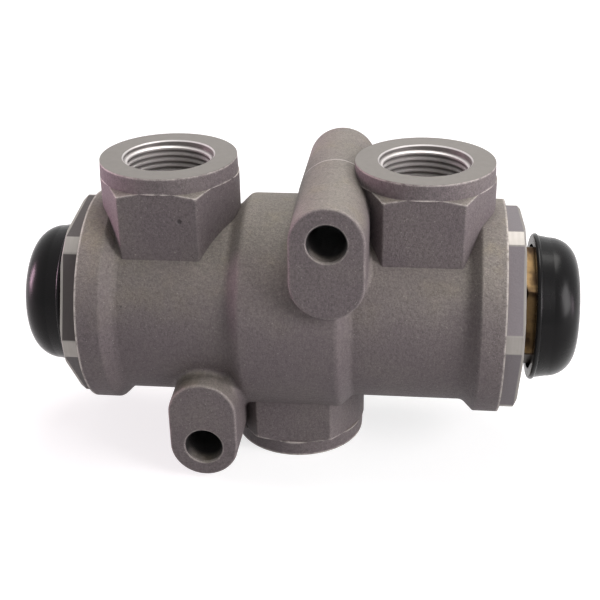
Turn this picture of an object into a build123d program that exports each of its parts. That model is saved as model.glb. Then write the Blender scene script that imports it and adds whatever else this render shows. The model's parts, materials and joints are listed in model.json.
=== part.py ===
"""Circuit protection valve: a cast body with an inlet port below and an outlet port above each end.

Lengths are in millimetres and angles in degrees. The valve axis runs along X and the ports along Z.
Each end of the body is built once, on the +X side, and turned about Z for the other end.
The origin is the centre of the inlet port's face, and the valve axis is inlet_drop above it.
"""

from build123d import *
import math
import os

# Body: the casting's outer form
body_half = 51.0
barrel_r = 24.0
flange_step = 2.75
flange_width = 6.0
flange_edge_round = 0.8
flange_root_round = 2.2
centre_step = 3.0
centre_half = 11.9
shoulder_edge_round = 2.0
shoulder_root_round = 1.6
lug_root_round = 1.2
cut_overshoot = 1.0

# Ports: a hexagonal boss with a turned ring at its face, and a standard M22 x 1.5 thread
port_offset = 31.2
outlet_height = 14.2
inlet_height = 12.9
port_thread_r = 11.0
port_thread_depth = 14.0
port_mouth_chamfer = 0.35
port_drill_angle = 59.0
ring_r = 16.75
ring_height = 4.0
ring_draft = 0.2
boss_across_flats = 33.0
boss_side_round = 12.0
boss_corner_round = 0.7
ledge_slope = 25.0
outlet_passage_r = 6.5
inlet_passage_r = 7.5

# Lugs: two drafted pads that run through the casting from front to back, for M8 bolts
lug_stand = 1.4
lug_hole_r = 4.5
lug_mouth_chamfer = 0.4
lug_draft = 0.8
lug_edge_round = 0.7
upper_lug_x = 9.7
upper_lug_hole_rise = 1.0
upper_lug_length = 10.2
upper_lug_r = 8.8
lower_lug_x = -21.0
lower_lug_hole_drop = 0.5
lower_lug_length = 9.2
lower_lug_r = 8.4

# Inside the casting: the inlet chamber, two seats and two outlet chambers
inlet_chamber_r = 9.5
inlet_chamber_half = 10.0
seat_bore_r = 7.0
seat_x = 18.0
seat_lip_width = 1.2
seat_lip_height = 3.0
seat_lip_slope = 1.0
diaphragm_depth = 12.5
diaphragm_ledge = 2.3

# End cover: hexagon with turned corners, screwed shank, cavity for the spring plate
cover_head = 4.4
cover_rim_setback = 1.3
cover_corner_rise = 2.45
cover_face_chamfer = 0.6
cover_wall = 9.0
barrel_wall = 4.0
diaphragm_seat_step = 0.7
cover_undercut_depth = 1.4
cover_undercut_width = 2.4
mouth_step = 0.8
mouth_chamfer = 0.4
thread_clearance = 0.08

# Cover seal
seal_section_r = 1.0
seal_gap = 0.1

# Adjusting screw: hollow hexagon screw that holds the spring
screw_wall = 2.3
screw_inset = 0.4
screw_head_gap = 1.0
screw_across_flats = 27.0
screw_corner_rise = 1.9
screw_hex_height = 7.0
screw_boss_wall = 1.8
screw_boss_height = 2.6
screw_end_wall = 1.5
screw_edge_chamfer = 0.6

# Spring and its two seats
nut_spring_gap = 1.1
spring_wire_r = 1.2
spring_hollow_gap = 0.5
spring_turns = 5.5
spring_ground = 0.55
spring_seat_thickness = 1.5
spring_seat_nib = 1.6
spring_plate_thickness = 1.5
spring_plate_lip = 1.0
spring_side_gap = 0.4
seat_plate_gap = 0.1

# Diaphragm and its clamping ring
diaphragm_thickness = 1.6
diaphragm_rim_gap = 0.1
diaphragm_bulge = 1.1
diaphragm_bulge_room = 3.0
diaphragm_bulge_inset = 0.25
diaphragm_plate_margin = 0.15
clamp_ring_width = 3.8
clamp_ring_thickness = 1.5

# Valve: piston with a rubber disc, held to the diaphragm by a nut
piston_stem_r = 5.0
piston_flange_setback = 0.5
piston_flange_thickness = 1.5
piston_rim_width = 1.3
piston_head_length = 6.0
piston_head_chamfer = 1.0
piston_stem_round = 1.0
piston_rim_setback = 0.6
stud_r = 3.0
stud_hole_gap = 0.05
stud_chamfer = 0.6
valve_disc_overlap = 1.3
valve_disc_thickness = 2.5
nut_across_flats = 10.0
nut_corner_rise = 0.7
nut_height = 5.0
nut_chamfer = 0.8
stud_overhang = 0.8

# Dust cap: moulded cup with a rim bead
cap_wall = 2.25
cap_bead = 0.45
cap_bead_lip = 0.5
cap_bead_crest = 0.52
cap_rim_width = 1.3
cap_taper = 0.5
cap_corner_round = 6.8
cap_crown = 0.8
cap_bore_gap = 0.25
cap_end_wall = 1.9
cap_floor_gap = 0.9
cap_inner_round = 5.0

# How each end stands: angles of the hexagons' corners above the front, and the gap from cover to cap.
# The left end is turned about Z into its place, which puts its front behind, so its angles count downward.
cover_turn = {"right": 5.4, "left": -6.9}
screw_turn = {"right": 38.0, "left": 20.0}
cap_rim_gap = {"right": 3.1, "left": 1.6}
end_turn = {"right": 0, "left": 180}
upward = {"right": 1, "left": -1}

# Radii and heights that follow, from the casting inward
flange_r = barrel_r + flange_step
centre_r = barrel_r + centre_step
outlet_rise = barrel_r + outlet_height
inlet_drop = barrel_r + inlet_height
lug_half = centre_r + lug_stand
upper_lug_hole_z = centre_r + upper_lug_hole_rise
upper_lug_foot_z = upper_lug_hole_z - upper_lug_length
lower_lug_hole_z = -(centre_r + lower_lug_hole_drop)
lower_lug_foot_z = lower_lug_hole_z + lower_lug_length
cover_corner_r = flange_r - cover_rim_setback
cover_across_flats = 2 * (cover_corner_r - cover_corner_rise)
cover_thread_r = barrel_r - barrel_wall
cover_undercut_r = cover_thread_r - cover_undercut_depth
mouth_r = cover_thread_r + mouth_step
diaphragm_seat_r = cover_thread_r - diaphragm_seat_step
outlet_chamber_r = diaphragm_seat_r - diaphragm_ledge
cover_cavity_r = diaphragm_seat_r - clamp_ring_width
spring_plate_r = cover_cavity_r - diaphragm_bulge_room
piston_flange_r = spring_plate_r - piston_flange_setback
seat_lip_r = seat_bore_r + seat_lip_width
valve_disc_r = seat_lip_r + valve_disc_overlap
piston_head_r = valve_disc_r + piston_rim_width

# Radii that follow, from the nut outward to the cap
nut_corner_r = nut_across_flats / 2 + nut_corner_rise
spring_inner_r = nut_corner_r + nut_spring_gap
spring_mean_r = spring_inner_r + spring_wire_r
spring_outer_r = spring_mean_r + spring_wire_r
screw_hollow_r = spring_outer_r + spring_hollow_gap
screw_thread_r = screw_hollow_r + screw_wall
screw_boss_r = screw_hollow_r + screw_boss_wall
screw_corner_r = screw_across_flats / 2 + screw_corner_rise
cap_bore_r = screw_corner_r + cap_bore_gap
cap_mouth_r = cap_bore_r + cap_wall
cap_rim_r = cap_mouth_r + cap_bead
cap_end_r = cap_mouth_r - cap_taper

# Places along the valve that follow
cover_face_x = body_half + cover_head
cover_inner_wall_x = cover_face_x - cover_wall
diaphragm_x = body_half - diaphragm_depth
clamp_ring_x = diaphragm_x + diaphragm_thickness
cover_shank_x = clamp_ring_x + clamp_ring_thickness
screw_inner_x = cover_inner_wall_x + screw_inset
screw_head_x = cover_face_x + screw_head_gap
screw_boss_x = screw_head_x + screw_hex_height
screw_end_x = screw_boss_x + screw_boss_height
screw_floor_x = screw_end_x - screw_end_wall
spring_outer_x = screw_floor_x - spring_seat_thickness
spring_plate_x = diaphragm_x + diaphragm_thickness
spring_inner_x = spring_plate_x + spring_plate_thickness
cap_floor_x = screw_end_x + cap_floor_gap
cap_length = cap_floor_x + cap_end_wall - cover_face_x - min(cap_rim_gap.values())


def turned(points, rounds=None):
    """Solid of revolution about X from (x, radius) points; rounds maps a point's number to its fillet."""
    outline = make_face(Polyline(*points, close=True))
    for number, radius in (rounds or {}).items():
        corner = outline.vertices().sort_by_distance((*points[number], 0))[0]
        outline = fillet(corner, radius)
    return revolve(Plane.XZ * outline, Axis.X)


def disc(x_from, x_to, radius):
    """Round bar along X."""
    middle = (x_from + x_to) / 2
    return Pos(middle, 0, 0) * Rot(0, 90, 0) * Cylinder(radius, x_to - x_from)


def hexagon_bar(x_from, x_to, across_flats, corner_angle=0.0):
    """Hexagonal bar along X with one corner at corner_angle above the front."""
    outline = RegularPolygon(across_flats / 2, 6, major_radius=False, rotation=-corner_angle)
    return extrude(Plane.YZ.offset(x_from) * outline, x_to - x_from)


def outer_turned_form():
    """Barrel, flanges and the wider centre, as one form of revolution."""
    shoulder = centre_r - barrel_r
    step = flange_r - barrel_r
    half = [
        (centre_half, centre_r),
        (centre_half + shoulder, barrel_r),
        (body_half - flange_width - step, barrel_r),
        (body_half - flange_width, flange_r),
        (body_half, flange_r),
        (body_half, 0),
    ]
    half_rounds = [shoulder_edge_round, shoulder_root_round, flange_root_round, flange_edge_round]
    points = half + [(-x, r) for x, r in reversed(half)]
    rounds = dict(enumerate(half_rounds))
    last = len(points) - 1
    rounds.update({last - number: radius for number, radius in enumerate(half_rounds)})
    return turned(points, rounds)


def front_lug(x, hole_z, foot_z, radius):
    """Front half of a lug: a drafted pad of two joined half rounds, widest at the parting plane."""
    parting_r = radius + lug_half * math.tan(math.radians(lug_draft))
    outline = SlotCenterToCenter(abs(hole_z - foot_z), 2 * parting_r, rotation=90)
    sketch = Plane.XZ * Pos(x, (hole_z + foot_z) / 2) * outline
    pad = extrude(sketch, lug_half, taper=lug_draft)
    return fillet(pad.faces().sort_by(Axis.Y)[0].edges(), lug_edge_round)


def lug_hole(x, hole_z):
    """Through hole along Y with a small chamfer at each mouth."""
    length = 2 * (lug_half + cut_overshoot)
    bore = Pos(x, 0, hole_z) * Rot(90, 0, 0) * Cylinder(lug_hole_r, length)
    mouth = Cone(lug_hole_r + 2 * lug_mouth_chamfer, lug_hole_r, 2 * lug_mouth_chamfer)
    front = Pos(x, -lug_half, hole_z) * Rot(-90, 0, 0) * mouth
    return bore + front + mirror(front, about=Plane.XZ)


def port_boss(face_height):
    """Boss that points up from the valve axis: a hexagon with flats in front and behind, and a turned ring."""
    outline = RegularPolygon(boss_across_flats / 2, 6, major_radius=False)
    corners = outline.vertices().sort_by(Axis.X)
    outline = fillet([corners[0], corners[-1]], boss_side_round)
    by_height = outline.vertices().sort_by(Axis.Y)
    outline = fillet(by_height[:2] + by_height[-2:], boss_corner_round)
    ledge_height = face_height - ring_height
    prism = extrude(outline, face_height)
    root_r = ring_r + ring_draft
    reach = boss_across_flats
    drop = (reach - root_r) * math.tan(math.radians(ledge_slope))
    limit = Pos(0, 0, ledge_height - drop / 2) * Cone(reach, root_r, drop)
    base_height = ledge_height - drop
    if base_height > 0:
        limit = limit + Pos(0, 0, base_height / 2) * Cylinder(reach, base_height)
    ring = Pos(0, 0, ledge_height + ring_height / 2) * Cone(root_r, ring_r, ring_height)
    return (prism & limit) + ring


def port_bore(face_height, passage_r):
    """Threaded port that opens upward, its drill point and the passage down to the valve axis."""
    floor = face_height - port_thread_depth
    point = port_thread_r / math.tan(math.radians(port_drill_angle))
    mouth_r_top = port_thread_r + port_mouth_chamfer
    points = [
        (0, 0),
        (passage_r, 0),
        (passage_r, floor - point * (1 - passage_r / port_thread_r)),
        (port_thread_r, floor),
        (port_thread_r, face_height - port_mouth_chamfer),
        (mouth_r_top, face_height),
        (mouth_r_top, face_height + cut_overshoot),
        (0, face_height + cut_overshoot),
    ]
    return revolve(Plane.XZ * make_face(Polyline(*points, close=True)), Axis.Z)


def end_bore():
    """What is cut from the +X end: seat bore, outlet chamber, diaphragm seat, cover thread and mouth."""
    lip_x = seat_x - seat_lip_height
    outer_x = body_half + cut_overshoot
    bore = turned(
        [
            (0, 0),
            (0, inlet_chamber_r),
            (inlet_chamber_half, inlet_chamber_r),
            (inlet_chamber_half + inlet_chamber_r - seat_bore_r, seat_bore_r),
            (lip_x, seat_bore_r),
            (lip_x, outlet_chamber_r),
            (diaphragm_x, outlet_chamber_r),
            (diaphragm_x, diaphragm_seat_r),
            (cover_shank_x, diaphragm_seat_r),
            (cover_shank_x, cover_thread_r),
            (body_half - cover_undercut_width, cover_thread_r),
            (body_half - cover_undercut_width, mouth_r),
            (body_half - mouth_chamfer, mouth_r),
            (body_half, mouth_r + mouth_chamfer),
            (outer_x, mouth_r + mouth_chamfer),
            (outer_x, 0),
        ]
    )
    seat_lip = turned(
        [
            (lip_x, seat_bore_r),
            (lip_x, seat_lip_r + seat_lip_slope),
            (seat_x, seat_lip_r),
            (seat_x, seat_bore_r),
        ]
    )
    return bore - seat_lip


def form_with_lugs():
    """The turned form with both lugs and the fillets at their roots: the front half and its mirror."""
    form = outer_turned_form()
    form = form - Pos(0, 2 * flange_r, 0) * Box(4 * body_half, 4 * flange_r, 4 * flange_r)
    upper = front_lug(upper_lug_x, upper_lug_hole_z, upper_lug_foot_z, upper_lug_r)
    lower = front_lug(lower_lug_x, lower_lug_hole_z, lower_lug_foot_z, lower_lug_r)
    front = form + upper + lower
    roots = new_edges(form, upper, lower, combined=front).filter_by(
        lambda edge: edge.center().Y < -lug_root_round
    )
    front = front.fillet(lug_root_round, roots)
    return front + mirror(front, about=Plane.XZ)


def valve_body():
    """The casting, with its bores cut."""
    solid = form_with_lugs()
    outlet = port_boss(outlet_rise)
    solid += Pos(port_offset, 0, 0) * outlet
    solid += Pos(-port_offset, 0, 0) * outlet
    solid += Rot(180, 0, 0) * port_boss(inlet_drop)
    end = end_bore()
    solid -= end
    solid -= Rot(0, 0, 180) * end
    outlet_cut = port_bore(outlet_rise, outlet_passage_r)
    solid -= Pos(port_offset, 0, 0) * outlet_cut
    solid -= Pos(-port_offset, 0, 0) * outlet_cut
    solid -= Rot(180, 0, 0) * port_bore(inlet_drop, inlet_passage_r)
    solid -= lug_hole(upper_lug_x, upper_lug_hole_z)
    solid -= lug_hole(lower_lug_x, lower_lug_hole_z)
    return solid


def end_cover(side):
    """Hexagonal cover whose corners are turned round, with a screwed shank and a seal groove."""
    shank_r = cover_thread_r - thread_clearance
    groove_x = body_half - cover_undercut_width
    head = hexagon_bar(body_half, cover_face_x, cover_across_flats, upward[side] * cover_turn[side])
    head &= turned(
        [
            (body_half, 0),
            (body_half, cover_corner_r),
            (cover_face_x - cover_face_chamfer, cover_corner_r),
            (cover_face_x, cover_corner_r - cover_face_chamfer * 2),
            (cover_face_x, 0),
        ]
    )
    shank = turned(
        [
            (cover_shank_x, 0),
            (cover_shank_x, shank_r - cover_face_chamfer),
            (cover_shank_x + cover_face_chamfer, shank_r),
            (groove_x, shank_r),
            (groove_x, cover_undercut_r),
            (body_half, cover_undercut_r),
            (body_half, 0),
        ]
    )
    cavity = disc(cover_shank_x - cut_overshoot, cover_inner_wall_x, cover_cavity_r)
    screw_hole = disc(
        cover_inner_wall_x - cut_overshoot, cover_face_x + cut_overshoot, screw_thread_r
    )
    return head + shank - cavity - screw_hole


def cover_seal():
    """O-ring in the groove under the cover's head."""
    ring_centre_r = cover_undercut_r + seal_gap + seal_section_r
    x = body_half - cover_undercut_width / 2
    return Pos(x, 0, 0) * Rot(0, 90, 0) * Torus(ring_centre_r, seal_section_r)


def adjusting_screw(side):
    """Hollow screw with a hexagon head; the spring stands inside it."""
    shank_r = screw_thread_r - thread_clearance
    shank = turned(
        [
            (screw_inner_x, 0),
            (screw_inner_x, shank_r - screw_edge_chamfer),
            (screw_inner_x + screw_edge_chamfer, shank_r),
            (screw_head_x, shank_r),
            (screw_head_x, 0),
        ]
    )
    head = hexagon_bar(screw_head_x, screw_boss_x, screw_across_flats, upward[side] * screw_turn[side])
    head &= turned(
        [
            (screw_head_x, 0),
            (screw_head_x, screw_corner_r - screw_edge_chamfer),
            (screw_head_x + screw_edge_chamfer / 2, screw_corner_r),
            (screw_boss_x - screw_edge_chamfer, screw_corner_r),
            (screw_boss_x, screw_corner_r - 2 * screw_edge_chamfer),
            (screw_boss_x, 0),
        ]
    )
    boss = turned(
        [
            (screw_boss_x, 0),
            (screw_boss_x, screw_boss_r),
            (screw_end_x - screw_edge_chamfer, screw_boss_r),
            (screw_end_x, screw_boss_r - screw_edge_chamfer),
            (screw_end_x, 0),
        ]
    )
    hollow = disc(screw_inner_x - cut_overshoot, screw_floor_x, screw_hollow_r)
    return shank + head + boss - hollow


def spring_seat():
    """Pressed seat on the hollow's floor, with a nib that centres the spring."""
    seat_r = screw_hollow_r - seat_plate_gap
    nib_r = spring_inner_r - spring_side_gap
    nib_x = spring_outer_x - spring_seat_nib
    return turned(
        [
            (nib_x, 0),
            (nib_x, nib_r - spring_seat_nib / 2),
            (nib_x + spring_seat_nib / 2, nib_r),
            (spring_outer_x, nib_r),
            (spring_outer_x, seat_r),
            (screw_floor_x, seat_r),
            (screw_floor_x, 0),
        ]
    )


def pressure_spring():
    """Coil spring with ground ends."""
    start = spring_inner_x + spring_ground
    length = spring_outer_x - spring_inner_x - 2 * spring_ground
    path = Helix(length / spring_turns, length, spring_mean_r)
    wire_plane = Plane(origin=path @ 0, z_dir=path % 0)
    coil = sweep(wire_plane * Circle(spring_wire_r), path, is_frenet=True)
    coil = Pos(start, 0, 0) * Rot(0, 90, 0) * coil
    return coil & disc(spring_inner_x, spring_outer_x, spring_outer_r + cut_overshoot)


def spring_plate():
    """Plate on the diaphragm with a low lip round the spring."""
    lip_r = spring_outer_r + spring_side_gap
    outer_x = spring_inner_x
    bore_r = stud_r + stud_hole_gap
    lip_outer_r = lip_r + spring_plate_lip
    return turned(
        [
            (spring_plate_x, bore_r),
            (spring_plate_x, spring_plate_r),
            (outer_x, spring_plate_r),
            (outer_x, lip_outer_r),
            (outer_x + spring_plate_lip, lip_outer_r),
            (outer_x + spring_plate_lip, lip_r),
            (outer_x, lip_r),
            (outer_x, bore_r),
        ]
    )


def diaphragm():
    """Rubber disc with one rolled bulge between the plate and the clamping ring."""
    rim_r = diaphragm_seat_r - diaphragm_rim_gap
    bulge_from = spring_plate_r + diaphragm_plate_margin
    bulge_to = cover_cavity_r - diaphragm_rim_gap
    bulge_mid = (bulge_from + bulge_to) / 2
    inset = diaphragm_bulge_inset
    upper = diaphragm_x + diaphragm_thickness
    bore_r = stud_r + stud_hole_gap
    outline = [
        Line((diaphragm_x, bore_r), (upper, bore_r)),
        Line((upper, bore_r), (upper, bulge_from)),
        ThreePointArc((upper, bulge_from), (upper + diaphragm_bulge, bulge_mid), (upper, bulge_to)),
        Line((upper, bulge_to), (upper, rim_r)),
        Line((upper, rim_r), (diaphragm_x, rim_r)),
        Line((diaphragm_x, rim_r), (diaphragm_x, bulge_to - inset)),
        ThreePointArc(
            (diaphragm_x, bulge_to - inset),
            (diaphragm_x + diaphragm_bulge, bulge_mid),
            (diaphragm_x, bulge_from + inset),
        ),
        Line((diaphragm_x, bulge_from + inset), (diaphragm_x, bore_r)),
    ]
    return revolve(Plane.XZ * make_face(outline), Axis.X)


def diaphragm_ring():
    """Flat ring that the cover presses on the diaphragm's rim."""
    rim_r = diaphragm_seat_r - diaphragm_rim_gap
    outer = disc(clamp_ring_x, cover_shank_x, rim_r)
    return outer - disc(
        clamp_ring_x - cut_overshoot, cover_shank_x + cut_overshoot, cover_cavity_r
    )


def valve_piston():
    """Piston: head with a recess for the disc, stem, flange under the diaphragm, and stud."""
    rim_x = seat_x + piston_rim_setback
    recess_x = seat_x + valve_disc_thickness
    recess_r = valve_disc_r + seat_plate_gap
    back_x = seat_x + piston_head_length
    flange_x = diaphragm_x - piston_flange_thickness
    stud_end_x = spring_inner_x + nut_height + stud_overhang
    return turned(
        [
            (recess_x, 0),
            (recess_x, recess_r),
            (rim_x, recess_r),
            (rim_x, piston_head_r),
            (back_x - piston_head_chamfer, piston_head_r),
            (back_x, piston_head_r - piston_head_chamfer),
            (back_x, piston_stem_r),
            (flange_x, piston_stem_r),
            (flange_x, piston_flange_r),
            (diaphragm_x, piston_flange_r),
            (diaphragm_x, stud_r),
            (stud_end_x - stud_chamfer, stud_r),
            (stud_end_x, stud_r - stud_chamfer),
            (stud_end_x, 0),
        ],
        {6: piston_stem_round, 7: piston_stem_round},
    )


def valve_disc():
    """Rubber disc that closes on the seat lip."""
    return disc(seat_x, seat_x + valve_disc_thickness, valve_disc_r)


def piston_nut():
    """Hexagon nut on the piston's stud."""
    end_x = spring_inner_x + nut_height
    nut = hexagon_bar(spring_inner_x, end_x, nut_across_flats)
    nut &= turned(
        [
            (spring_inner_x, 0),
            (spring_inner_x, nut_corner_r),
            (end_x - nut_chamfer, nut_corner_r),
            (end_x, nut_corner_r - nut_chamfer),
            (end_x, 0),
        ]
    )
    return nut - disc(spring_inner_x - cut_overshoot, end_x + cut_overshoot, stud_r + stud_hole_gap)


def dust_cap(side):
    """Moulded cup pushed over the screw's hexagon, with a bead round its rim and a slightly crowned end."""
    rim_x = cover_face_x + cap_rim_gap[side]
    end_x = rim_x + cap_length
    corner_x = end_x - cap_crown
    bead_x = rim_x + cap_rim_width
    crest = (rim_x + cap_bead_crest, cap_rim_r)
    lip_r = cap_rim_r - cap_bead_lip
    inner_x = end_x - cap_end_wall
    crown_r = cap_end_r - cap_corner_round
    dome_r = (crown_r**2 + cap_crown**2) / (2 * cap_crown)
    dome_angle = math.degrees(math.asin(crown_r / dome_r))
    outer = make_face(
        [
            Line((rim_x, 0), (rim_x, lip_r)),
            ThreePointArc((rim_x, lip_r), crest, (bead_x, cap_mouth_r)),
            Line((bead_x, cap_mouth_r), (corner_x - cap_corner_round, cap_end_r)),
            CenterArc((corner_x - cap_corner_round, crown_r), cap_corner_round, 90, -90),
            CenterArc((end_x - dome_r, 0), dome_r, dome_angle, -dome_angle),
            Line((end_x, 0), (rim_x, 0)),
        ]
    )
    cup = revolve(Plane.XZ * outer, Axis.X)
    outer_x = rim_x - cut_overshoot
    inner = turned(
        [(outer_x, 0), (outer_x, cap_bore_r), (inner_x, cap_bore_r), (inner_x, 0)],
        {2: cap_inner_round},
    )
    return cup - inner


def end_pieces(side):
    """Every separate piece of one end, by name, modelled on the +X side."""
    return {
        "end_cover": end_cover(side),
        "cover_seal": cover_seal(),
        "adjusting_screw": adjusting_screw(side),
        "dust_cap": dust_cap(side),
        "spring_seat": spring_seat(),
        "pressure_spring": pressure_spring(),
        "spring_plate": spring_plate(),
        "diaphragm": diaphragm(),
        "diaphragm_ring": diaphragm_ring(),
        "valve_piston": valve_piston(),
        "valve_disc": valve_disc(),
        "piston_nut": piston_nut(),
    }


def main():
    """Writes each piece to parts/NAME.step, raised so that the inlet port's face is at z = 0."""
    os.makedirs("parts", exist_ok=True)
    raised = Pos(0, 0, inlet_drop)
    pieces = {"valve_body": valve_body()}
    for side, turn in end_turn.items():
        for name, piece in end_pieces(side).items():
            pieces[f"{name}_{side}"] = Rot(0, 0, turn) * piece
    for name, piece in pieces.items():
        export_step(raised * piece, f"parts/{name}.step")


main()
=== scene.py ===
import json
import math

import bpy
from mathutils import Matrix, Vector


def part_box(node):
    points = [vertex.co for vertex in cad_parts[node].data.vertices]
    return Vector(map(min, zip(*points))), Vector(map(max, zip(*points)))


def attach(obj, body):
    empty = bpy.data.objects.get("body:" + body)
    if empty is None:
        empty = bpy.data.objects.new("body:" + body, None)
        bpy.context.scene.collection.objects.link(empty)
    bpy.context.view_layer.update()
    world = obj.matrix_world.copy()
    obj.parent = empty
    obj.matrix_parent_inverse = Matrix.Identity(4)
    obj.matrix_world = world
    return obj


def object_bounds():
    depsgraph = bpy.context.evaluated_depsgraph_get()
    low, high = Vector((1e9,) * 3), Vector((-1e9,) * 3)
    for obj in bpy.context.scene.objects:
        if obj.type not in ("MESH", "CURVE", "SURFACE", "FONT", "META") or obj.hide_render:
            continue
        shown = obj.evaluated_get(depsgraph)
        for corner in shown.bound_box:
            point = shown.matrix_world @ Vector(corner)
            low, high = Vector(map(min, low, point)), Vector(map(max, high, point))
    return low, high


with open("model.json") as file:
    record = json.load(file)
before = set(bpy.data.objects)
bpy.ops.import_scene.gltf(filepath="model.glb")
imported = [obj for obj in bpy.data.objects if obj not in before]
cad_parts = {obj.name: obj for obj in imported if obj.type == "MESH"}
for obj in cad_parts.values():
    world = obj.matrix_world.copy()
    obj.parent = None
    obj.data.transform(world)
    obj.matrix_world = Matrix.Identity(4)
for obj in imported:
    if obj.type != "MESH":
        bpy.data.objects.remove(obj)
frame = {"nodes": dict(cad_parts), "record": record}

MM = 0.001
cad_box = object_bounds()
body_low, body_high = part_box("valve_body")
mounts = {mount["name"]: mount for mount in frame["record"]["mounts"]}
sides = ("left", "right")

# Places that the materials and the added pieces share, all read from the frame
outlet_face_z = body_high.z
inlet_face_z = body_low.z
end_face_x = body_high.x
lug_face_y = body_high.y
axis_z = sum(corner.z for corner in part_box("valve_piston_right")) / 2
port_r = mounts["inlet_port"]["dims"]["r_mm"] * MM
lug_hole_r = mounts["upper_fixing_hole"]["dims"]["r_mm"] * MM

# Marks of casting and cutting that only show in the finish
pit_place = Vector((-25.98, 0.0, 64.45)) * MM
pit_r = 0.75 * MM
flash_y = 2.6 * MM
flash_half_width = 0.42 * MM
flash_lowest_z = 69.0 * MM
lug_r = 10.2 * MM
cutter_feed = 0.55 * MM
cutter_wobble = 0.35 * MM
# How far in from the lug face the lug holes' painted lit edge reaches
lit_rim_from = 4.4 * MM
lit_rim_to = 1.4 * MM

# How far past a bore's wall or a turned face its finish reaches
wall_margin = 0.3 * MM
hole_margin = 0.1 * MM
face_margin = 0.12 * MM
corner_margin = 0.1 * MM
cover_chamfer = 0.6 * MM

# Port thread, M22 x 1.5
thread_pitch = 1.5 * MM
thread_depth = 0.5413 * thread_pitch
thread_starts = 0.10 * MM
thread_ends = 13.2 * MM
thread_overlap = 0.04 * MM
thread_runout_turns = 0.3
thread_steps = 96


# Small helpers that build a shader tree

class Tree:
    """A material's or world's node tree, with short calls for the nodes that are used here."""

    def __init__(self, name="", owner=None):
        self.material = owner or bpy.data.materials.new(name)
        self.material.use_nodes = True
        self.nodes = self.material.node_tree.nodes
        self.links = self.material.node_tree.links
        self.nodes.clear()
        self.place = self.add("ShaderNodeTexCoord").outputs["Object"]
        self.normal = self.add("ShaderNodeNewGeometry").outputs["Normal"]

    def add(self, kind, inputs=None, **settings):
        node = self.nodes.new(kind)
        for name, value in settings.items():
            setattr(node, name, value)
        for name, value in (inputs or {}).items():
            self.put(node.inputs[name], value)
        return node

    def put(self, socket, value):
        if isinstance(value, bpy.types.NodeSocket):
            self.links.new(value, socket)
        elif isinstance(value, (tuple, list)) and len(value) == 3 and socket.type == "RGBA":
            socket.default_value = (*value, 1.0)
        else:
            socket.default_value = value

    def math(self, operation, a, b=0.0, c=0.0, clamp=False):
        node = self.add("ShaderNodeMath", {0: a, 1: b, 2: c}, operation=operation, use_clamp=clamp)
        return node.outputs[0]

    def band(self, value, low, high):
        """0 below low and 1 above high, with a smooth step between; low may be the larger."""
        inputs = {"Value": value, "From Min": low, "From Max": high}
        return self.add("ShaderNodeMapRange", inputs, interpolation_type="SMOOTHSTEP").outputs["Result"]

    def noise(self, grain_mm, detail=3.0, roughness=0.55, place=None):
        inputs = {
            "Vector": place or self.place,
            "Scale": 1 / (grain_mm * MM),
            "Detail": detail,
            "Roughness": roughness,
        }
        return self.add("ShaderNodeTexNoise", inputs).outputs["Fac"]

    def stretched(self, stretch):
        """Object coordinates scaled along each axis, for drawn-out marks."""
        return self.add("ShaderNodeMapping", {"Vector": self.place, "Scale": stretch}).outputs["Vector"]

    def mix(self, factor, a, b):
        node = self.add("ShaderNodeMix", data_type="RGBA")
        self.put(node.inputs["Factor"], factor)
        self.put(node.inputs[6], a)
        self.put(node.inputs[7], b)
        return node.outputs[2]

    def shade(self, factor, amount, colour):
        """Colour made lighter and darker by a noise factor; amount is the share either way."""
        level = self.math("MULTIPLY_ADD", factor, 2 * amount, 1 - amount)
        grey = self.add("ShaderNodeCombineColor", {"Red": level, "Green": level, "Blue": level}).outputs[0]
        node = self.add("ShaderNodeMix", data_type="RGBA", blend_type="MULTIPLY")
        self.put(node.inputs["Factor"], 1.0)
        self.put(node.inputs[6], colour)
        self.put(node.inputs[7], grey)
        return node.outputs[2]

    def bump(self, height, depth_mm, strength):
        inputs = {"Height": height, "Distance": depth_mm * MM, "Strength": strength}
        return self.add("ShaderNodeBump", inputs).outputs["Normal"]

    def axes(self):
        node = self.add("ShaderNodeSeparateXYZ", {"Vector": self.place})
        return node.outputs["X"], node.outputs["Y"], node.outputs["Z"]

    def distance(self, centre, directions):
        """Distance from a line through centre that runs along the axis left out of directions."""
        x_y_z = self.axes()
        squares = []
        for number in directions:
            offset = self.math("SUBTRACT", x_y_z[number], centre[number])
            squares.append(self.math("MULTIPLY", offset, offset))
        return self.math("SQRT", self.math("ADD", squares[0], squares[1]))

    def upward(self):
        """How far a surface faces up: 1 up, 0 upright, -1 down."""
        return self.add("ShaderNodeSeparateXYZ", {"Vector": self.normal}).outputs["Z"]

    def edges(self, reach_mm):
        """How near a point is to an outer edge, from 0 on a flat."""
        settings = {"samples": 8, "inside": True, "only_local": True}
        node = self.add("ShaderNodeAmbientOcclusion", {"Distance": reach_mm * MM}, **settings)
        return self.math("SUBTRACT", 1.0, node.outputs["AO"])

    def seen(self):
        """1 for rays that come from the camera, a mirror or glass, and 0 for those that only light."""
        path = self.add("ShaderNodeLightPath").outputs
        direct = self.math("MAXIMUM", path["Is Camera Ray"], path["Is Glossy Ray"])
        return self.math("MAXIMUM", direct, path["Is Transmission Ray"])

    def surface(self, **inputs):
        shader = self.add("ShaderNodeBsdfPrincipled")
        for name, value in inputs.items():
            self.put(shader.inputs[name.replace("_", " ")], value)
        output = self.add("ShaderNodeOutputMaterial")
        self.links.new(shader.outputs[0], output.inputs["Surface"])
        return self.material
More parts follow.
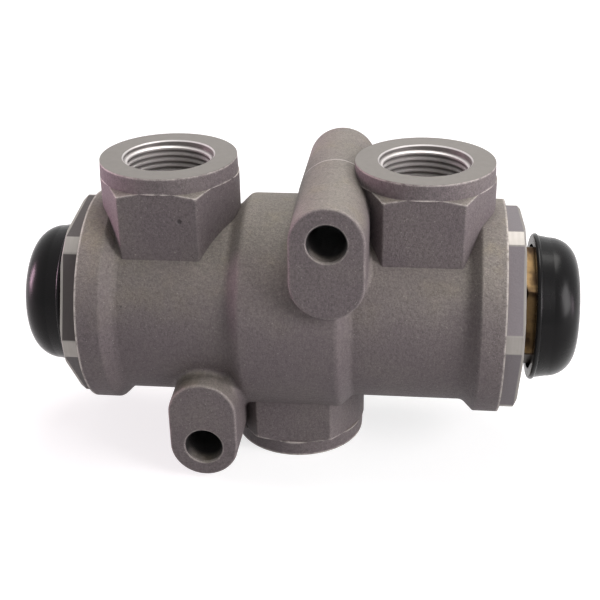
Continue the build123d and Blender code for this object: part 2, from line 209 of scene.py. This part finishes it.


# Colours, as linear reflectance
# The cast skin's two tones: random patchy tone, and also painted light on upward faces and painted shade
# on the others
cast_dark_and_shaded = (0.146, 0.122, 0.128)
cast_pale_and_lit = (0.238, 0.214, 0.188)
cast_yellow = (0.260, 0.225, 0.150)
# Bright bare metal for worn edges, specks and flash; along the edges it is also a painted highlight
bare_metal_and_highlight = (0.60, 0.55, 0.52)
cast_pit = (0.035, 0.030, 0.032)
# Near-black inside the lug holes: painted shade
hole_shade = (0.016, 0.014, 0.014)
turned_face = (0.226, 0.207, 0.190)
thread_metal = (0.62, 0.59, 0.58)
# Darker colour of the thread roots and of the bore wall between the ridges: painted shade
thread_root_shade = (0.27, 0.252, 0.244)
facet_metal = (0.285, 0.268, 0.250)
# One cover material in two tones: painted shade on the left cover, painted light on the right
cover_flat_shade_by_side = {"left": (0.070, 0.060, 0.059), "right": (0.185, 0.166, 0.176)}
piston_metal = (0.60, 0.60, 0.61)
brass_clean = (0.085, 0.054, 0.024)
# Dark brown for aged brass in patches, and also painted shade on the brass faces turned down
brass_tarnish_and_shade = (0.016, 0.008, 0.006)
cap_black = (0.0040, 0.0037, 0.0040)
cap_dust = (0.16, 0.15, 0.15)
rubber_black = (0.022, 0.021, 0.021)
spring_metal = (0.30, 0.30, 0.32)
plated_metal = (0.52, 0.52, 0.50)
floor_bounce = (0.16, 0.16, 0.16)
floor_seen = (0.50, 0.50, 0.50)


def cast_grain(tree):
    """Grain, small pits and height of the matte sand-cast skin."""
    grain = tree.band(tree.noise(0.75, detail=5.0, roughness=0.75), 0.32, 0.68)
    pits = tree.band(tree.noise(1.3, detail=2.0), 0.27, 0.22)
    lumps = tree.noise(3.5, detail=2.0)
    height = tree.math("MULTIPLY_ADD", grain, 0.45, tree.math("MULTIPLY", lumps, 0.9))
    height = tree.math("SUBTRACT", height, tree.math("MULTIPLY", pits, 0.5))
    return grain, pits, height


def cast_colour(tree, grain, pits):
    """Patchy grey with bright specks and dark pits, paler where it faces up and darker where it doesn't,
    which is painted light and shade.
    """
    patches = tree.noise(14.0, detail=4.0)
    fine = tree.band(tree.noise(0.34, detail=2.0), 0.32, 0.68)
    # Upward faces are mixed towards the pale tone: painted light on tops, painted shade on sides and
    # undersides
    up = tree.band(tree.upward(), -0.1, 1.0)
    light = tree.math("ADD", tree.math("MULTIPLY", up, 0.45), tree.math("MULTIPLY", patches, 0.55))
    colour = tree.mix(tree.band(light, 0.12, 0.95), cast_dark_and_shaded, cast_pale_and_lit)
    # Yellow tint in patches, only on upward faces: a painted warm light on the tops
    tint_patches = tree.math("MULTIPLY", tree.band(tree.noise(9.0, detail=3.0), 0.50, 0.72), up)
    colour = tree.mix(tree.math("MULTIPLY", tint_patches, 0.35), colour, cast_yellow)
    colour = tree.shade(grain, 0.17, colour)
    colour = tree.shade(fine, 0.13, colour)
    sparks = tree.band(tree.noise(0.42, detail=1.0), 0.70, 0.78)
    colour = tree.mix(tree.math("MULTIPLY", sparks, 0.35), colour, bare_metal_and_highlight)
    return tree.mix(tree.math("MULTIPLY", pits, 0.5), colour, cast_pit)


def port_radius(tree):
    """Distance from the axis of whichever port is nearest."""
    nearest = None
    for mount in mounts.values():
        if mount["kind"] == "threaded_hole":
            distance = tree.distance(mount["pos_m"], (0, 1))
            nearest = distance if nearest is None else tree.math("MINIMUM", nearest, distance)
    return nearest


def skin_or_metal(tree, mask, skin, metal, kind):
    """A value or a normal that goes from the cast skin's to the machined metal's."""
    first = {"FLOAT": 2, "VECTOR": 4}[kind]
    node = tree.add("ShaderNodeMix", {"Factor": mask}, data_type=kind)
    tree.put(node.inputs[first], skin)
    tree.put(node.inputs[first + 1], metal)
    return node.outputs[{"FLOAT": 0, "VECTOR": 1}[kind]]


def cast_aluminium():
    """The casting: rough skin, edges worn bright and given a painted highlight, turned port faces and end
    faces, and cut bores.
    """
    tree = Tree("cast_aluminium")
    grain, pits, height = cast_grain(tree)
    colour = cast_colour(tree, grain, pits)
    x, y, z = tree.axes()

    scuffs = tree.noise(1.8, detail=5.0, roughness=0.7)
    # Edges lightened: partly worn bare metal, partly a painted highlight along the outer edges
    edge = tree.edges(0.90)
    wear_and_highlight = tree.math("MULTIPLY", tree.band(edge, 0.12, 0.34), tree.band(scuffs, 0.30, 0.56))
    colour = tree.mix(tree.math("MULTIPLY", wear_and_highlight, 0.85), colour, bare_metal_and_highlight)

    # A sand hole in the left boss's front flat, and the parting line's flash along the upper lug's top
    ragged = tree.math("MULTIPLY_ADD", scuffs, 0.8, 0.6)
    pit = tree.math("MULTIPLY", tree.distance(pit_place, (0, 2)), ragged)
    pit = tree.math("MULTIPLY", tree.band(pit, pit_r, pit_r / 3), tree.band(y, 0.0, -1 * MM))
    colour = tree.mix(tree.math("MULTIPLY", pit, 0.75), colour, cast_pit)
    past_flash = tree.math("SUBTRACT", y, flash_y)
    line = tree.math("ABSOLUTE", tree.math("MULTIPLY_ADD", tree.noise(3.0), 1.2 * MM, past_flash))
    line = tree.band(line, flash_half_width, flash_half_width - 0.2 * MM)
    lug_axis = mounts["upper_fixing_hole"]["pos_m"]
    on_lug = tree.band(tree.distance(lug_axis, (0, 2)), lug_r + 0.4 * MM, lug_r)
    on_top = tree.band(z, flash_lowest_z, flash_lowest_z + 1 * MM)
    line = tree.math("MULTIPLY", line, tree.math("MULTIPLY", on_lug, on_top))
    colour = tree.mix(tree.math("MULTIPLY", line, 0.55), colour, bare_metal_and_highlight)

    # Faces that a cutter left: both port planes and both end planes
    above = tree.band(z, outlet_face_z - face_margin, outlet_face_z - face_margin / 3)
    below = tree.band(z, inlet_face_z + face_margin, inlet_face_z + face_margin / 3)
    outward = tree.band(tree.math("ABSOLUTE", x), end_face_x - face_margin, end_face_x - face_margin / 3)
    turned = tree.math("MAXIMUM", tree.math("MAXIMUM", above, below), outward)

    # Bores: the ports along Z and the lug holes along Y
    bores = []
    holes = []
    for mount in mounts.values():
        if mount["kind"] == "threaded_hole":
            distance = tree.distance(mount["pos_m"], (0, 1))
            near = tree.band(distance, port_r + wall_margin + 0.1 * MM, port_r + wall_margin)
            face_z = mount["pos_m"][2]
            inward = tree.band(z, axis_z + (face_z - axis_z) / 4, axis_z + (face_z - axis_z) / 3)
            bores.append(tree.math("MULTIPLY", near, inward))
        if mount["kind"] == "bore":
            distance = tree.distance(mount["pos_m"], (0, 2))
            holes.append(tree.band(distance, lug_hole_r + 2 * hole_margin, lug_hole_r + hole_margin))
    cut = bores[0]
    for bore in bores[1:]:
        cut = tree.math("MAXIMUM", cut, bore)
    hole = tree.math("MAXIMUM", holes[0], holes[1])
    # Lug holes painted near-black as shade, except their upward walls near the face, kept lighter as
    # painted light
    near_face = tree.band(tree.math("ABSOLUTE", y), lug_face_y - lit_rim_from, lug_face_y - lit_rim_to)
    lit_rim = tree.math("MULTIPLY", tree.band(tree.upward(), 0.2, 0.8), near_face)
    hole = tree.math("MULTIPLY", hole, tree.math("MULTIPLY_ADD", lit_rim, -0.85, 1.0))

    # Rings left by the cutter, round whichever port is nearest
    radius = port_radius(tree)
    wobble = tree.math("MULTIPLY_ADD", tree.noise(6.0, detail=1.0), cutter_wobble, radius)
    rings = tree.math("SINE", tree.math("MULTIPLY", wobble, 2 * math.pi / cutter_feed))
    ring_height = tree.math("MULTIPLY_ADD", rings, 0.10, tree.math("MULTIPLY", scuffs, 0.5))

    face_colour = tree.shade(scuffs, 0.14, turned_face)
    colour = tree.mix(turned, colour, face_colour)
    # The bore wall behind the thread ridges gets the dark root colour, a painted shade; the mouth's
    # chamfer stays bright
    chamfer = tree.band(radius, port_r + thread_overlap, port_r + thread_overlap + 0.06 * MM)
    cut_colour = tree.shade(tree.noise(2.5), 0.15, tree.mix(chamfer, thread_root_shade, thread_metal))
    colour = tree.mix(cut, colour, cut_colour)
    colour = tree.mix(hole, colour, hole_shade)

    machined = tree.math("MAXIMUM", turned, cut)
    rough_skin = tree.math("MULTIPLY_ADD", scuffs, 0.14, 0.58)
    roughness = skin_or_metal(tree, machined, rough_skin, 0.40, "FLOAT")
    bare = tree.math("MAXIMUM", machined, tree.math("MULTIPLY", wear_and_highlight, 0.6))
    bare = tree.math("MULTIPLY", bare, tree.math("SUBTRACT", 1.0, hole))
    metallic = skin_or_metal(tree, bare, 0.30, 0.85, "FLOAT")

    raised = tree.math("SUBTRACT", tree.math("MULTIPLY", line, 0.8), tree.math("MULTIPLY", pit, 2.0))
    skin = tree.bump(tree.math("ADD", height, raised), 0.16, 0.9)
    flat = tree.bump(ring_height, 0.03, 0.45)
    normal = skin_or_metal(tree, machined, skin, flat, "VECTOR")
    return tree.surface(Base_Color=colour, Roughness=roughness, Metallic=metallic, Normal=normal)


def cover_aluminium(side):
    """A hexagonal cover: cast flats, darker on the left cover as painted shade and lighter on the right as
    painted light, corners and face turned bright.
    """
    tree = Tree(f"cover_aluminium_{side}")
    height = cast_grain(tree)[2]
    # The flats' tone is set by side: painted shade on the left, painted light on the right
    colour = tree.shade(tree.noise(0.4), 0.12, cover_flat_shade_by_side[side])
    low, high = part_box(f"end_cover_{side}")
    face_x = max(abs(low.x), abs(high.x))
    corner_r = max(high.y, axis_z - low.z)
    x = tree.axes()[0]
    radius = tree.distance((0, 0, axis_z), (1, 2))
    round_part = tree.band(radius, corner_r - corner_margin - 0.12 * MM, corner_r - corner_margin)
    face_from = face_x - cover_chamfer
    face = tree.band(tree.math("ABSOLUTE", x), face_from - 0.02 * MM, face_from + 0.06 * MM)
    turned = tree.math("MAXIMUM", round_part, face)
    marks = tree.noise(0.8, detail=4.0, place=tree.stretched((1.0, 0.12, 0.12)))
    bright = tree.shade(marks, 0.16, facet_metal)
    tint_patches = tree.band(tree.noise(4.0, detail=5.0), 0.52, 0.70)
    bright = tree.mix(tree.math("MULTIPLY", tint_patches, 0.45), bright, turned_face)
    colour = tree.mix(turned, colour, bright)
    # Cover edges lightened: partly worn bare metal, partly a painted highlight
    edge = tree.edges(0.35)
    wear_and_highlight = tree.math("MULTIPLY", tree.band(edge, 0.30, 0.60), tree.band(tree.noise(1.5), 0.35, 0.6))
    colour = tree.mix(tree.math("MULTIPLY", wear_and_highlight, 0.8), colour, bare_metal_and_highlight)
    metallic = skin_or_metal(tree, turned, 0.35, 0.85, "FLOAT")
    roughness = skin_or_metal(tree, turned, 0.55, 0.50, "FLOAT")
    skin = tree.bump(height, 0.08, 0.6)
    lines = tree.bump(marks, 0.02, 0.6)
    normal = skin_or_metal(tree, turned, skin, lines, "VECTOR")
    return tree.surface(Base_Color=colour, Roughness=roughness, Metallic=metallic, Normal=normal)


def thread_aluminium():
    """Cut thread flanks: crests bright and roots darkened, a painted shade in the roots."""
    tree = Tree("thread_aluminium")
    marks = tree.noise(0.7, detail=3.0)
    # Darker towards the roots: painted shade in the grooves
    root = tree.band(port_radius(tree), port_r - 0.50 * MM, port_r - 0.15 * MM)
    colour = tree.mix(root, thread_metal, thread_root_shade)
    colour = tree.shade(marks, 0.10, colour)
    roughness = tree.math("MULTIPLY_ADD", marks, 0.10, 0.38)
    return tree.surface(
        Base_Color=colour, Roughness=roughness, Metallic=0.6, Normal=tree.bump(marks, 0.006, 0.25)
    )


def turned_metal(name, colour, roughness_low, metallic=0.95):
    """Bright turned metal with fine rings along X."""
    tree = Tree(name)
    marks = tree.noise(0.6, detail=4.0, place=tree.stretched((2.2, 0.25, 0.25)))
    shaded = tree.shade(marks, 0.12, colour)
    shaded = tree.shade(tree.noise(5.0), 0.08, shaded)
    roughness = tree.math("MULTIPLY_ADD", marks, 0.18, roughness_low)
    return tree.surface(
        Base_Color=shaded, Roughness=roughness, Metallic=metallic, Normal=tree.bump(marks, 0.015, 0.5)
    )


def worn_brass():
    """Brass with milling marks along its flats, gone brown in places, and brown on faces turned down as a
    painted shade.
    """
    tree = Tree("worn_brass")
    marks = tree.noise(0.5, detail=4.0, place=tree.stretched((0.5, 1.6, 1.6)))
    tarnish_and_shade = tree.band(tree.noise(5.5, detail=4.0), 0.40, 0.62)
    # Faces turned down go brown too: painted shade
    tarnish_and_shade = tree.math("ADD", tarnish_and_shade, tree.band(tree.upward(), 0.1, -0.6), clamp=True)
    colour = tree.mix(tree.math("MULTIPLY", tarnish_and_shade, 0.8), brass_clean, brass_tarnish_and_shade)
    colour = tree.shade(marks, 0.28, colour)
    roughness = tree.math("MULTIPLY_ADD", tarnish_and_shade, 0.22, 0.30)
    lines = tree.bump(marks, 0.03, 0.7)
    return tree.surface(Base_Color=colour, Roughness=roughness, Metallic=0.95, Normal=lines)


def moulded_black():
    """Semi-gloss moulded cap with faint haze, dust and handling scratches."""
    tree = Tree("moulded_black")
    haze = tree.noise(7.0, detail=5.0)
    dust = tree.band(tree.noise(0.45, detail=3.0, roughness=0.7), 0.66, 0.80)
    colour = tree.shade(haze, 0.18, cap_black)
    colour = tree.mix(tree.math("MULTIPLY", dust, 0.10), colour, cap_dust)
    scratches = tree.noise(0.9, detail=5.0, roughness=0.7, place=tree.stretched((0.25, 1.0, 0.6)))
    roughness = tree.math("MULTIPLY_ADD", haze, 0.16, 0.19)
    height = tree.math("ADD", tree.noise(0.5, detail=3.0), tree.math("MULTIPLY", scratches, 0.8))
    skin = tree.bump(height, 0.02, 0.35)
    return tree.surface(Base_Color=colour, Roughness=roughness, Specular_IOR_Level=0.145, Normal=skin)


def black_rubber():
    """Matte rubber with a fine grain."""
    tree = Tree("black_rubber")
    grain = tree.noise(0.4, detail=4.0)
    colour = tree.shade(tree.noise(3.0, detail=3.0), 0.2, rubber_black)
    return tree.surface(Base_Color=colour, Roughness=0.72, Normal=tree.bump(grain, 0.03, 0.6))


def dress(node, material):
    """One material in every slot of a CAD node."""
    slots = frame["nodes"][node].data.materials
    if len(slots) == 0:
        slots.append(material)
    for number in range(len(slots)):
        slots[number] = material


def dress_all():
    """Every CAD node gets its finish."""
    rubber = black_rubber()
    cap = moulded_black()
    brass = worn_brass()
    piston = turned_metal("turned_aluminium", piston_metal, 0.24)
    plated = turned_metal("plated_steel", plated_metal, 0.30)
    wire = turned_metal("spring_steel", spring_metal, 0.30)
    finishes = {
        "cover_seal": rubber,
        "diaphragm": rubber,
        "valve_disc": rubber,
        "dust_cap": cap,
        "adjusting_screw": brass,
        "valve_piston": piston,
        "spring_seat": plated,
        "spring_plate": plated,
        "diaphragm_ring": plated,
        "piston_nut": plated,
        "pressure_spring": wire,
    }
    dress("valve_body", cast_aluminium())
    for side in sides:
        dress(f"end_cover_{side}", cover_aluminium(side))
        for name, material in finishes.items():
            dress(f"{name}_{side}", material)


# Pieces that the frame leaves to this script

def mesh_piece(name, vertices, faces, material, body):
    mesh = bpy.data.meshes.new(name)
    mesh.from_pydata(vertices, [], faces)
    mesh.validate()
    mesh.update()
    piece = bpy.data.objects.new(name, mesh)
    bpy.context.scene.collection.objects.link(piece)
    mesh.materials.append(material)
    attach(piece, body)
    return piece


def port_thread(mount, material):
    """Ridges of the M22 x 1.5 thread: one helical bar on the bore's wall, run out at both ends."""
    crest_r = port_r - thread_depth
    wall_r = port_r + thread_overlap
    half_base = thread_pitch * 7 / 16
    half_crest = thread_pitch / 8
    turns = (thread_ends - thread_starts - 2 * half_base) / thread_pitch
    centre = Vector(mount["pos_m"])
    outward = Vector(mount["axis"])
    centre.z = outlet_face_z if outward.z > 0 else inlet_face_z
    across = Vector((1, 0, 0))
    along = outward.cross(across)
    vertices = []
    faces = []
    count = int(turns * thread_steps)
    for step in range(count + 1):
        turn = step / thread_steps
        ease = min(1.0, turn / thread_runout_turns, (turns - turn) / thread_runout_turns)
        inner_r = port_r + (crest_r - port_r) * max(ease, 0.02)
        angle = 2 * math.pi * turn
        ray = across * math.cos(angle) - along * math.sin(angle)
        down = thread_starts + half_base + thread_pitch * turn
        ring = [(wall_r, -half_base), (inner_r, -half_crest), (inner_r, half_crest), (wall_r, half_base)]
        for radius, offset in ring:
            vertices.append(centre + ray * radius - outward * (down + offset))
        if step:
            first = 4 * (step - 1)
            for corner in range(4):
                after = (corner + 1) % 4
                faces.append((first + corner, first + after, first + 4 + after, first + 4 + corner))
    last = 4 * count
    faces.append((3, 2, 1, 0))
    faces.append((last, last + 1, last + 2, last + 3))
    return mesh_piece(f"thread_{mount['name']}", vertices, faces, material, "root")


def add_threads():
    material = thread_aluminium()
    for mount in mounts.values():
        if mount["kind"] == "threaded_hole":
            port_thread(mount, material)


# Stage: floor, lamps and camera

world_light = 0.21
world_seen = 1.0
floor_half = 3.0
floor_gap = 0.2 * MM
floor_glow_near = 0.72
floor_glow_far = 0.98
floor_glow_grows = (0.28, 0.75)


def floor():
    """White floor that keeps the object's shadow; it glows a little more where the lamps don't reach."""
    height = cad_box[0][2] - floor_gap
    around = ((-1, -1), (1, -1), (1, 1), (-1, 1))
    mesh = bpy.data.meshes.new("floor")
    mesh.from_pydata([(x * floor_half, y * floor_half, height) for x, y in around], [], [(0, 1, 2, 3)])
    plane = bpy.data.objects.new("floor", mesh)
    bpy.context.scene.collection.objects.link(plane)
    tree = Tree("floor")
    seen = tree.seen()
    colour = tree.mix(seen, floor_bounce, floor_seen)
    away = tree.band(tree.distance((0, 0, 0), (0, 1)), *floor_glow_grows)
    glow = tree.math("MULTIPLY_ADD", away, floor_glow_far - floor_glow_near, floor_glow_near)
    glow = tree.math("MULTIPLY", seen, glow)
    mesh.materials.append(
        tree.surface(
            Base_Color=colour,
            Roughness=0.9,
            Specular_IOR_Level=0.0,
            Emission_Color=(1.0, 1.0, 1.0),
            Emission_Strength=glow,
        )
    )


def lamp(name, place, target, size, power, colour):
    data = bpy.data.lights.new(name, "AREA")
    data.shape = "RECTANGLE"
    data.size, data.size_y = size
    data.energy = power
    data.color = colour
    item = bpy.data.objects.new(name, data)
    item.location = place
    item.rotation_euler = (Vector(target) - Vector(place)).to_track_quat("-Z", "Y").to_euler()
    bpy.context.scene.collection.objects.link(item)


def light():
    """Key lamp above, weaker ones at the sides, and a plain pale world; places and sizes in metres."""
    middle = (0.0, 0.0, 0.035)
    lamp("key", (0.10, 0.24, 0.78), middle, (0.46, 0.46), 4.3, (1.0, 0.985, 0.955))
    lamp("right", (0.44, -0.21, 0.24), middle, (0.24, 0.32), 2.2, (1.0, 0.97, 0.98))
    lamp("left", (-0.66, 0.04, 0.16), middle, (0.14, 0.24), 2.8, (1.0, 0.64, 0.82))
    lamp("front", (0.62, -0.60, 0.34), middle, (0.20, 0.40), 0.5, (1.0, 0.92, 0.97))
    lamp("low_right", (0.60, -0.04, 0.02), middle, (0.06, 0.30), 0.6, (1.0, 0.82, 0.94))
    world = bpy.data.worlds.new("studio")
    bpy.context.scene.world = world
    tree = Tree(owner=world)
    strength = tree.math("MULTIPLY_ADD", tree.seen(), world_seen - world_light, world_light)
    background = tree.add("ShaderNodeBackground", {"Color": (1.0, 1.0, 1.0), "Strength": strength})
    tree.add("ShaderNodeOutputWorld", {"Surface": background.outputs[0]})


def camera():
    """The photograph's view; place, aim and roll were fitted to the ports, flanges and lugs."""
    place = Vector((28.23, -251.85, 165.01)) * MM
    target = Vector((0.47, 0.0, 36.49)) * MM
    roll = math.radians(-1.01)
    back = (place - target).normalized()
    level = Vector((0, 0, 1)).cross(back).normalized()
    upright = back.cross(level)
    right = level * math.cos(roll) + upright * math.sin(roll)
    up = upright * math.cos(roll) - level * math.sin(roll)
    data = bpy.data.cameras.new("camera")
    data.lens = 66.25
    data.sensor_width = 36.0
    data.clip_start = 0.01
    item = bpy.data.objects.new("camera", data)
    turn = Matrix((right, up, back)).transposed().to_4x4()
    item.matrix_world = Matrix.Translation(place) @ turn
    bpy.context.scene.collection.objects.link(item)
    bpy.context.scene.camera = item


dress_all()
add_threads()
floor()
light()
camera()
bpy.context.scene.view_settings.view_transform = "Standard"
